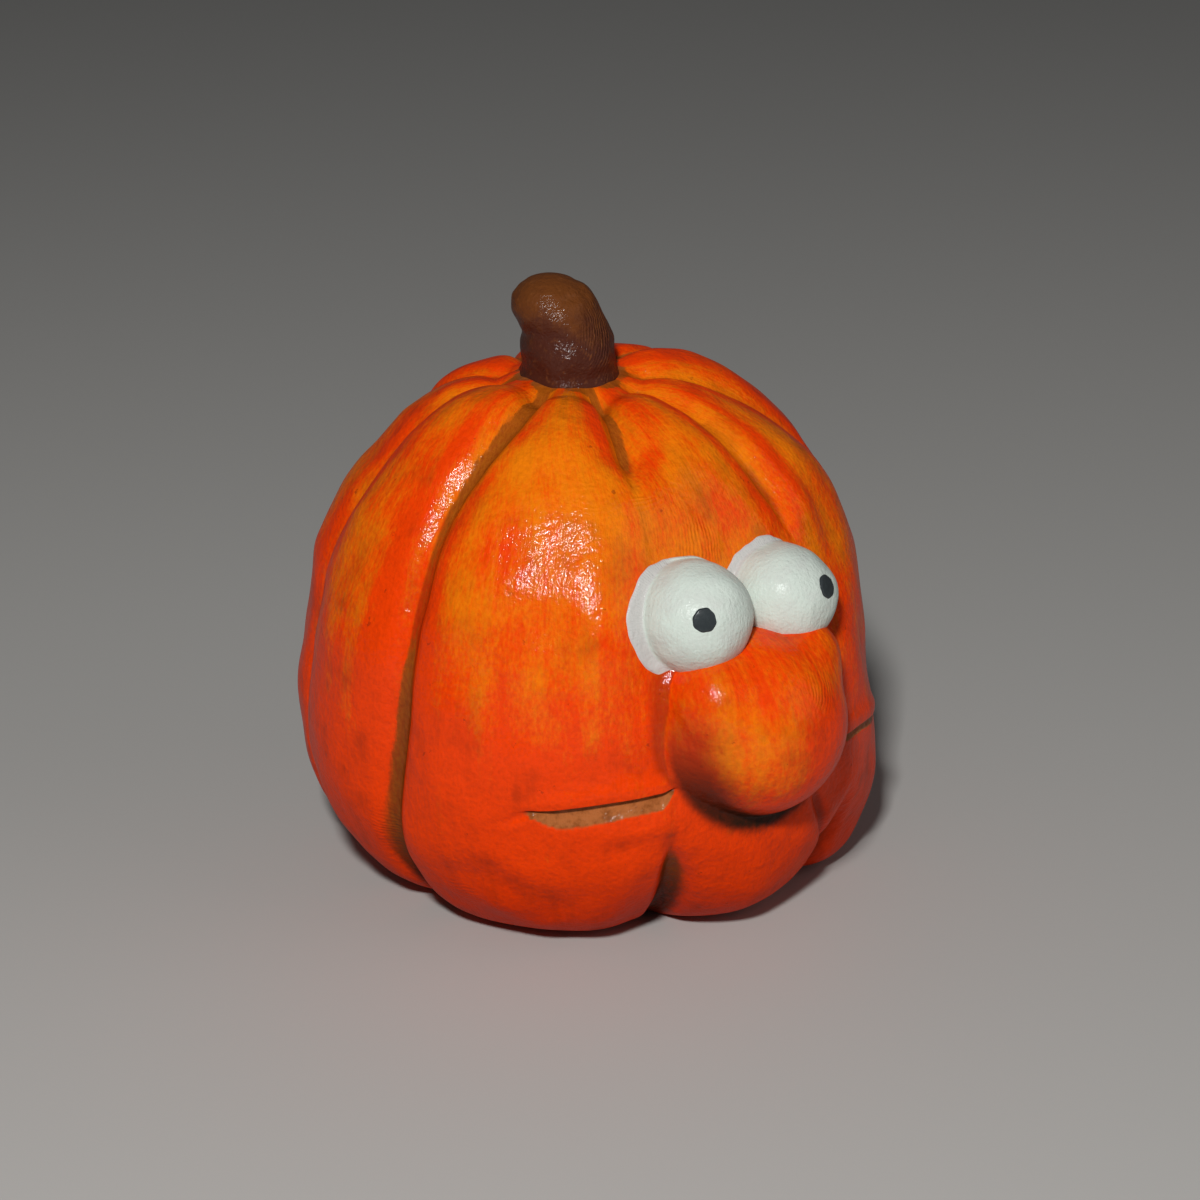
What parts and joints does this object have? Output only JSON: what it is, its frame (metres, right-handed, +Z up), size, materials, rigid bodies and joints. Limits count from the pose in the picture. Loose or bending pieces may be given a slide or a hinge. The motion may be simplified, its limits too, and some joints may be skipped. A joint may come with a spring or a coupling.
{
  "type": "pumpkin figurine",
  "caption": "Small hand-modelled painted clay pumpkin with ribs, a short bent stem and a comic face: bulging eyes, a ball nose and a worried mouth.",
  "frame": {"origin": "centre of the flat base, on the pumpkin's own axis", "axes": "+Z up through the stem, -Y the way the face looks, +X the figure's own left"},
  "size_m": [0.0663, 0.0738, 0.0712],
  "materials": {
    "orange_clay": "hand-painted red-orange over yellow-orange with an ochre wash in the grooves, satin varnish",
    "white_clay": "cool off-white paint over modelled clay, satin varnish",
    "black_clay": "charcoal paint, satin varnish",
    "brown_clay": "dark reddish brown paint with a lighter top and fingerprints, satin varnish"
  },
  "bodies": {
    "root": {"pumpkin": "orange_clay", "eye_right": "white_clay", "eye_left": "white_clay", "pupil_right": "black_clay", "pupil_left": "black_clay", "stem": "brown_clay"}
  },
  "joints": []
}
